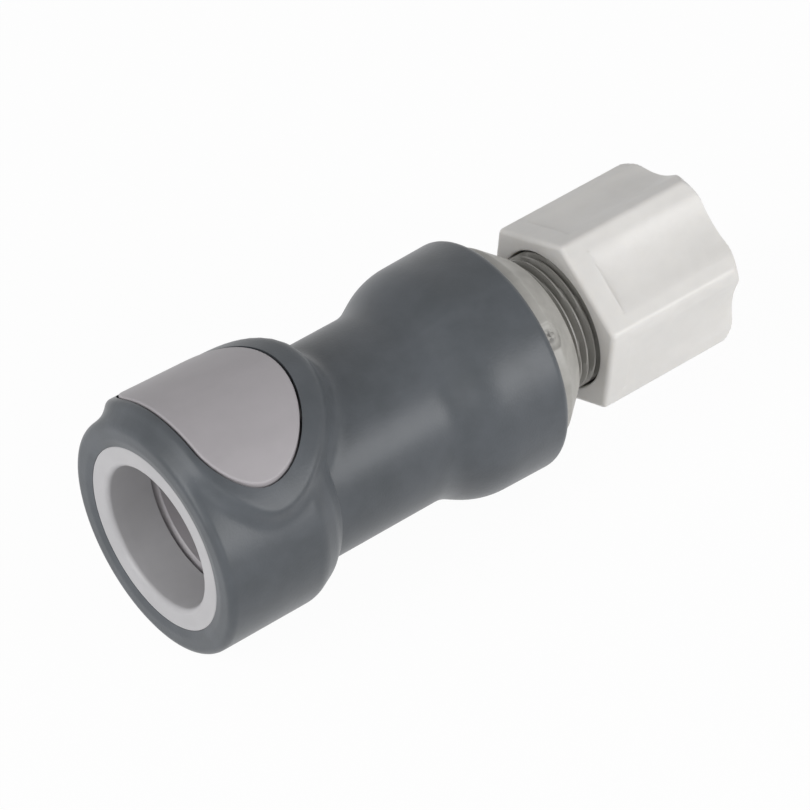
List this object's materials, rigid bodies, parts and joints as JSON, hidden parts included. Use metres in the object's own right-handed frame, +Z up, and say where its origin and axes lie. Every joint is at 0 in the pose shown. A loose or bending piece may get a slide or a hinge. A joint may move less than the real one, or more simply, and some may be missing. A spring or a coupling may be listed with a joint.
{
  "type": "plastic quick disconnect coupling",
  "caption": "Plastic quick disconnect socket with a thumb latch button in a soft grip boot, a shut-off valve inside and a hexagon compression nut for tube at its tail.",
  "frame": {"origin": "on the coupling's axis, where the straight wall of the socket's bore begins behind the mouth's lip", "axes": "+X along the coupling's axis from the socket's mouth to the tube nut, +Z up through the middle of the thumb button, +Y across it"},
  "size_m": [0.0901, 0.034, 0.0359],
  "materials": {
    "boot": "fine-grained satin, dark blue-grey soft-touch elastomer",
    "body": "satin, light warm grey moulded plastic",
    "latch": "satin, mid grey moulded plastic",
    "pin": "satin, grey moulded plastic",
    "adapter": "satin, light grey moulded plastic",
    "valve": "satin, light grey moulded plastic",
    "ferrule": "satin, natural white moulded plastic",
    "nut": "satin, off-white moulded plastic",
    "seal": "matt black moulded rubber",
    "steel": "bright drawn stainless wire"
  },
  "bodies": {
    "housing": {"grip_boot": "boot", "coupling_body": "body", "latch_spring_near": "steel", "latch_spring_far": "steel", "latch_pin_spring": "steel", "pin_plug": "body", "socket_seal": "seal", "valve_spring": "steel", "valve_guide": "valve", "adapter_seal": "seal", "lock_ring": "steel", "tail_adapter": "adapter"},
    "latch": {"thumb_latch": "latch"},
    "pin": {"latch_pin": "pin"},
    "valve": {"valve_poppet": "valve", "poppet_seal": "seal"},
    "clamp_rings": {"ferrule": "ferrule", "grab_ring": "steel", "spacer_ring": "ferrule"},
    "nut": {"compression_nut": "nut"}
  },
  "joints": [
    {"name": "pin_push", "type": "slide", "parent": "housing", "child": "pin", "axis": [1, 0, 0], "range_m": [0, 0.003], "stiffness_N_per_m": 200, "springref_m": -0.005, "deforming": ["latch_pin_spring"]},
    {"name": "latch_rise", "type": "slide", "parent": "housing", "child": "latch", "axis": [0, 0, 1], "range_m": [0, 0.0018], "deforming": ["latch_spring_near", "latch_spring_far"]},
    {"name": "valve_open", "type": "slide", "parent": "housing", "child": "valve", "axis": [1, 0, 0], "range_m": [0, 0.005], "stiffness_N_per_m": 600, "springref_m": -0.006, "deforming": ["valve_spring"]},
    {"name": "nut_advance", "type": "slide", "parent": "housing", "child": "clamp_rings", "axis": [1, 0, 0], "range_m": [-0.0035, 0.00382]},
    {"name": "nut_turn", "type": "hinge", "parent": "clamp_rings", "child": "nut", "pos_m": [0.0758, 0, 0], "axis": [1, 0, 0], "range_deg": [-990, 1080]}
  ],
  "couplings": [
    {"joint": "latch_rise", "follows": "pin_push", "ratio": 0.6},
    {"joint": "nut_advance", "follows": "nut_turn", "m_per_rad": 0.00020213}
  ]
}
